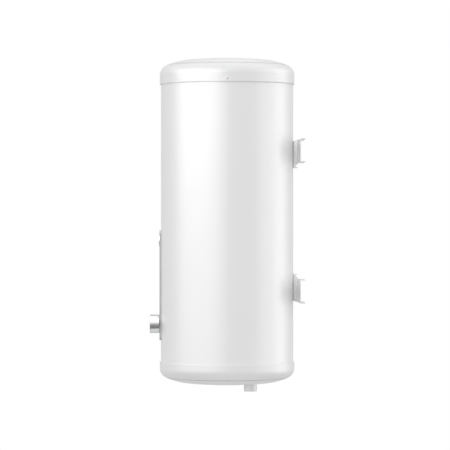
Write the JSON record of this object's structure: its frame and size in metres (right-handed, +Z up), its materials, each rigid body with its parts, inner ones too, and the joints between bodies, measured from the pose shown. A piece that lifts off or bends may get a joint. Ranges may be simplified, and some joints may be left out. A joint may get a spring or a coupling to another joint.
{
  "type": "tank water heater",
  "caption": "Wall-hung electric storage water heater: a tall white cylinder with domed caps, hook brackets, a control strip with knob and thermometer, and water connections below.",
  "frame": {"origin": "centre of the upper bracket's hook slots, on the face of its hook plate that looks at the wall", "axes": "+Z up along the tank, +Y into the wall, so the control strip looks along -Y and +X is on the right seen from the front"},
  "size_m": [0.4528, 0.5177, 1.11],
  "materials": {
    "white_enamel": "glossy powder coat",
    "white_plastic": "glossy moulded plastic",
    "bracket_paint": "satin white paint on pressed steel",
    "strip_silver": "silver-grey painted plastic",
    "knob_silver": "satin silver plastic",
    "signal_red": "satin",
    "signal_blue": "satin",
    "lamp_amber": "clear amber plastic",
    "chrome_trim": "polished",
    "zinc_steel": "zinc plated",
    "screw_steel": "dark plated",
    "enamelled_steel": "fired enamel",
    "foam": "rigid polyurethane foam",
    "grey_plastic": "satin",
    "ivory_plastic": "satin",
    "dial_white": "printed disc",
    "clear_plastic": "clear",
    "brass": "machined",
    "copper": "drawn",
    "magnesium": "cast",
    "black_rubber": "matt",
    "wire_brown": "insulated wire",
    "wire_blue": "insulated wire",
    "wire_green": "insulated wire"
  },
  "bodies": {
    "heater": {"casing": "white_enamel", "top_cap": "white_plastic", "bottom_cap": "white_plastic", "cap_screws": "screw_steel", "foam_insulation": "foam", "inner_tank": "enamelled_steel", "upper_bracket": "bracket_paint", "lower_bracket": "bracket_paint", "upper_saddle": "zinc_steel", "lower_saddle": "zinc_steel", "bracket_bolts": "zinc_steel", "bracket_washers": "zinc_steel", "control_strip": "strip_silver", "strip_tray": "grey_plastic", "thermostat_body": "ivory_plastic", "thermostat_screws": "zinc_steel", "pilot_lens": "lamp_amber", "pilot_body": "ivory_plastic", "gauge_case": "grey_plastic", "gauge_bezel": "chrome_trim", "gauge_dial": "dial_white", "gauge_pin": "zinc_steel", "gauge_lens": "clear_plastic", "cold_socket": "zinc_steel", "hot_socket": "zinc_steel", "cold_collar": "white_plastic", "hot_collar": "white_plastic", "collar_nuts": "white_plastic", "cold_ring": "signal_blue", "hot_ring": "signal_red", "cold_dip_pipe": "grey_plastic", "cold_diffuser": "grey_plastic", "hot_pipe": "zinc_steel", "flange_plate": "zinc_steel", "flange_gasket": "black_rubber", "flange_studs": "zinc_steel", "flange_nuts": "zinc_steel", "heating_element": "copper", "element_terminals": "brass", "anode_rod": "magnesium", "anode_nut": "zinc_steel", "sensor_sheath": "copper", "sensing_bulbs": "copper", "capillary_tubes": "copper", "cutout_body": "ivory_plastic", "terminal_block": "ivory_plastic", "live_wires": "wire_brown", "neutral_wires": "wire_blue", "earth_wire": "wire_green", "service_cover": "white_plastic", "cover_screws": "zinc_steel", "cable_grommet": "black_rubber"},
    "knob": {"knob": "knob_silver", "knob_index": "signal_red", "thermostat_shaft": "zinc_steel"},
    "needle": {"gauge_needle": "signal_red"},
    "button": {"reset_button": "signal_red"}
  },
  "joints": [
    {"name": "knob_turn", "type": "hinge", "parent": "heater", "child": "knob", "pos_m": [0, -0.4709, -0.579], "axis": [0, 1, 0], "range_deg": [-135, 135]},
    {"name": "needle_turn", "type": "hinge", "parent": "heater", "child": "needle", "pos_m": [0, -0.4659, -0.298], "axis": [0, 1, 0], "range_deg": [-60, 180], "stiffness_Nm_per_rad": 0.00001},
    {"name": "reset_press", "type": "slide", "parent": "heater", "child": "button", "axis": [0, 0, 1], "range_m": [0, 0.0025], "stiffness_N_per_m": 400}
  ]
}
